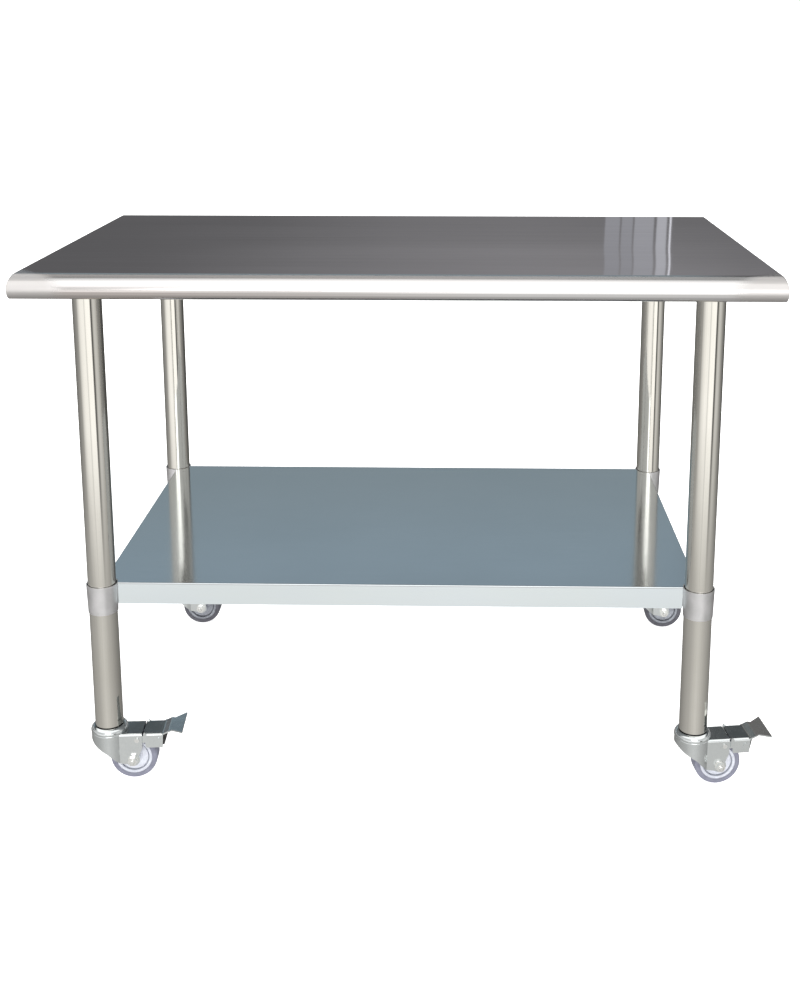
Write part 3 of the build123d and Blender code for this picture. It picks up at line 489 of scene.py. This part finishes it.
def light_behind(air, around_back, up):
    """From low to high: the dark back, the cool wall that the shelf reflects, a warm dark band, and white."""
    from_left = across(air, around_back, WALL_LEFT_END, 0.0, 1.0)
    to_right = across(air, around_back, WALL_RIGHT_END, 1.0, 0.0)
    # past the wall's right end it is dark, and well out to either side it is lighter again
    wall = air.mix(air.span(up, *WALL_MIDDLE, 0.0, 1.0), WALL_LOW, WALL_HIGH)
    wall = air.mix(to_right, grey(0.15), wall)
    sides = air.math("MAXIMUM", across(air, around_back, FAR_LEFT, 1.0, 0.0),
                     across(air, around_back, FAR_RIGHT, 0.0, 1.0))
    wall = air.mix(sides, wall, grey(0.62, 0.02))
    # the band above the wall is darker past both of its ends
    dark_band = air.mix(air.math("MULTIPLY", from_left, to_right), grey(0.09, -0.15), ABOVE_WALL)
    behind = light_low_behind(air, around_back, up)
    for band, color in ((WALL_FOOT, wall), (WALL_TOP, dark_band), (WHITE_BEHIND, grey(WHITE_LEVEL, 0.02))):
        behind = air.mix(air.span(up, *band, 0.0, 1.0, smooth=True), behind, color)
    return behind


def light_ahead(air, around_front, up):
    """Brightest straight ahead, and dimmer to both sides until well overhead."""
    ahead = ring(air, around_front, lambda level: grey(level, 0.01), (
        (-90, 0.70), (-34, 0.75), (-16, 0.95), (-11, 3.00), (16, 3.00), (21, 0.95), (34, 0.75), (90, 0.70),
    ))
    return air.mix(air.span(up, *WHITE_AHEAD, 0.0, 1.0, smooth=True), ahead, grey(WHITE_LEVEL, 0.01))


def studio_world():
    """Soft light from all round: bright above and in front, dim low down behind and to the sides."""
    world = bpy.data.worlds.new("studio_light")
    bpy.context.scene.world = world
    world.use_nodes = True
    air = Nodes(world.node_tree)
    background = air.tree.nodes["Background"]
    split = air.add("ShaderNodeSeparateXYZ")
    air.link(air.add("ShaderNodeTexCoord").outputs["Generated"], split.inputs["Vector"])
    right, back, up = split.outputs

    # azimuths in turns: 0.5 is straight in front (-Y) on the first, straight behind (+Y) on the second
    to_front = air.math("ARCTAN2", right, air.math("MULTIPLY", back, -1.0))
    around_front = air.math("ADD", air.math("DIVIDE", to_front, math.tau), 0.5)
    around_back = air.math("ADD", air.math("DIVIDE", air.math("ARCTAN2", right, back), math.tau), 0.5)

    above = air.mix(air.span(back, 0.25, -0.15, 0.0, 1.0, smooth=True),
                    light_behind(air, around_back, up), light_ahead(air, around_front, up))
    # a pale band lies along the horizon
    above = air.mix(air.span(up, *JUST_ABOVE, 0.0, 1.0), grey(HORIZON_LEVEL), above)
    below = light_below(air, around_front, up)
    air.link(air.mix(air.span(up, *JUST_BELOW, 0.0, 1.0), below, above), background.inputs["Color"])


def sun(name, direction, strength, spread):
    """A soft sun that polished parts don't reflect; spread is its width in degrees."""
    data = bpy.data.lights.new(name, "SUN")
    data.energy = strength
    data.angle = math.radians(spread)
    lamp = bpy.data.objects.new(name, data)
    bpy.context.scene.collection.objects.link(lamp)
    lamp.rotation_euler = Vector(direction).to_track_quat("-Z", "Y").to_euler()
    lamp.visible_glossy = False


pale_floor()
studio_world()
sun("overhead_soft", direction=(0.15, 0.5, -1.0), strength=0.45, spread=80.0)


CAMERA_DOWN, CAMERA_ROLL, CAMERA_TURN = 0.2011, -0.0003, 0.0202


def main_camera():
    """Lens, place and tilt of the main view, in metres and radians; the lens shift only frames it."""
    data = bpy.data.cameras.new("view_camera")
    data.sensor_width = 36.0
    data.lens = 46.623
    data.shift_x = -0.03355
    data.shift_y = -0.20028
    data.clip_end = 100.0
    camera = bpy.data.objects.new("view_camera", data)
    bpy.context.scene.collection.objects.link(camera)
    camera.location = (0.0993, -2.3530, 1.2681)
    camera.rotation_euler = (math.radians(90) - CAMERA_DOWN, CAMERA_ROLL, CAMERA_TURN)
    bpy.context.scene.camera = camera


main_camera()
bpy.context.scene.view_settings.view_transform = "Standard"
